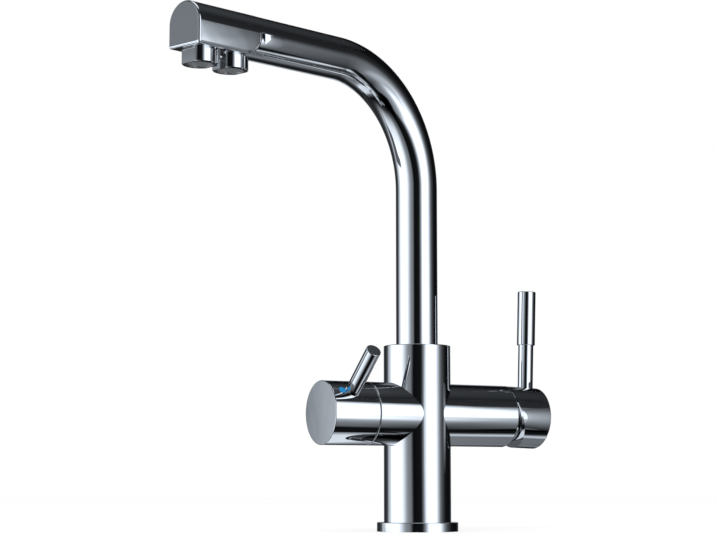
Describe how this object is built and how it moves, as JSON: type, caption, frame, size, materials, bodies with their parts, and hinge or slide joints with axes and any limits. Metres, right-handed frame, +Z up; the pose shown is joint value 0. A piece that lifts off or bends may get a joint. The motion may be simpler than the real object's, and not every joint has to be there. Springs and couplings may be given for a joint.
{
  "type": "three way filtered water tap",
  "caption": "Deck-mounted kitchen tap with a swivelling bent spout, twin outlets, a filtered-water lever on one arm and a mixing lever on the other",
  "frame": {"origin": "on the column's axis at the deck face, the centre of the inlet block's underside", "axes": "+Z up along the column, +X along the mixer arm, -Y towards the user"},
  "size_m": [0.3221, 0.1059, 0.3448],
  "materials": {
    "polished_chrome": "mirror-polished chrome plating on brass",
    "raw_brass": "machined brass",
    "black_rubber": "smooth moulded rubber",
    "white_plastic": "moulded acetal",
    "grey_plastic": "moulded plastic",
    "blue_enamel": "glossy blue index plug",
    "ceramic_disc": "ground ceramic",
    "stainless_steel": "plain turned steel"
  },
  "bodies": {
    "fixed_body": {"tap_body": "polished_chrome", "base_ring": "polished_chrome", "base_gasket": "black_rubber", "inlet_block": "raw_brass", "inlet_seals": "black_rubber", "swivel_washer": "white_plastic", "swivel_bush": "white_plastic", "spout_retaining_screw": "stainless_steel", "filter_valve_body": "raw_brass", "filter_seat_washer": "black_rubber", "filter_fixed_disc": "ceramic_disc", "cartridge_base": "grey_plastic", "cartridge_port_seals": "black_rubber", "mixer_fixed_disc": "ceramic_disc", "cartridge_housing": "grey_plastic", "cartridge_nut": "raw_brass", "dome_cover": "polished_chrome"},
    "spout_assembly": {"spout_tube": "polished_chrome", "spout_spigot": "raw_brass", "spout_orings": "black_rubber", "filter_tube": "white_plastic", "filter_tube_nipple": "raw_brass", "filter_nipple_oring": "black_rubber", "outlet_head": "polished_chrome", "filtered_aerator_housing": "polished_chrome", "mixed_aerator_housing": "polished_chrome", "filtered_aerator_insert": "grey_plastic", "mixed_aerator_insert": "grey_plastic", "aerator_washers": "black_rubber"},
    "filter_handle_assembly": {"filter_handle": "polished_chrome", "filter_lever": "polished_chrome", "blue_index_dot": "blue_enamel", "filter_handle_grub_screw": "stainless_steel", "filter_spindle": "raw_brass", "filter_spindle_orings": "black_rubber", "filter_moving_disc": "ceramic_disc"},
    "rotor_assembly": {"cartridge_rotor": "white_plastic", "stem_pin": "stainless_steel"},
    "mixer_handle_assembly": {"mixer_handle": "polished_chrome", "mixer_lever_stem": "polished_chrome", "mixer_lever_grip": "polished_chrome", "cartridge_stem": "raw_brass", "mixer_handle_grub_screw": "stainless_steel"},
    "driver_assembly": {"disc_driver": "white_plastic", "mixer_moving_disc": "ceramic_disc"}
  },
  "joints": [
    {"name": "spout_swivel", "type": "hinge", "parent": "fixed_body", "child": "spout_assembly", "pos_m": [0, 0, 0.1322], "axis": [0, 0, 1], "continuous": true},
    {"name": "filter_turn", "type": "hinge", "parent": "fixed_body", "child": "filter_handle_assembly", "pos_m": [-0.0428, 0, 0.083], "axis": [1, 0, 0], "range_deg": [-47.3, 42.7]},
    {"name": "mixer_temperature", "type": "hinge", "parent": "fixed_body", "child": "rotor_assembly", "pos_m": [0.07, 0, 0.083], "axis": [1, 0, 0], "range_deg": [-50, 50]},
    {"name": "mixer_flow", "type": "hinge", "parent": "rotor_assembly", "child": "mixer_handle_assembly", "pos_m": [0.07, 0, 0.083], "axis": [0, 1, 0], "range_deg": [0, 20]},
    {"name": "disc_slide", "type": "slide", "parent": "rotor_assembly", "child": "driver_assembly", "axis": [0, 0, 1], "range_m": [0, 0.0042]}
  ],
  "couplings": [
    {"joint": "disc_slide", "follows": "mixer_flow", "m_per_rad": 0.012}
  ]
}
